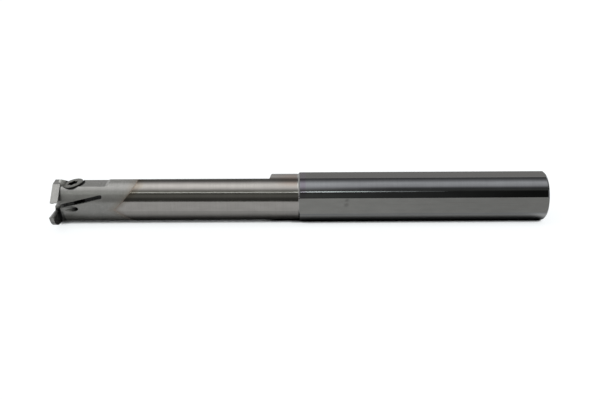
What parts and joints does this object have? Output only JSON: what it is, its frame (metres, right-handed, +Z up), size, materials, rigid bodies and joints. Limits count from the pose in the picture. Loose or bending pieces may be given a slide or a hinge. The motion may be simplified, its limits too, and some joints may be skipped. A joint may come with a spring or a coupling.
{
  "type": "turning tool holder",
  "caption": "Round internal grooving bar: a flatted carbide shank with a relieved neck and a brazed steel head whose slit jaw clamps an insert with a screw.",
  "frame": {"origin": "centre of the shank's rear face", "axes": "+X along the bar's axis towards its rear, so the head lies towards -X; the cutting side faces -Y; +Z is up, square to the top and bottom flats"},
  "size_m": [0.2, 0.0259, 0.019],
  "materials": {
    "head_steel": "satin blasted and milled steel, grey",
    "braze": "copper brown filler, ground flush",
    "carbide": "ground cemented carbide, dark grey and glossy",
    "black_screw": "blackened steel"
  },
  "bodies": {
    "holder": {"cutting_head": "head_steel", "braze_seam": "braze", "carbide_shank": "carbide"},
    "screw": {"clamp_screw": "black_screw"}
  },
  "joints": [
    {"name": "screw_turn", "type": "hinge", "parent": "holder", "child": "screw", "pos_m": [-0.19289, -0.0018, 0.00745], "axis": [-0.2079, 0, 0.9781], "range_deg": [0, 810]}
  ]
}
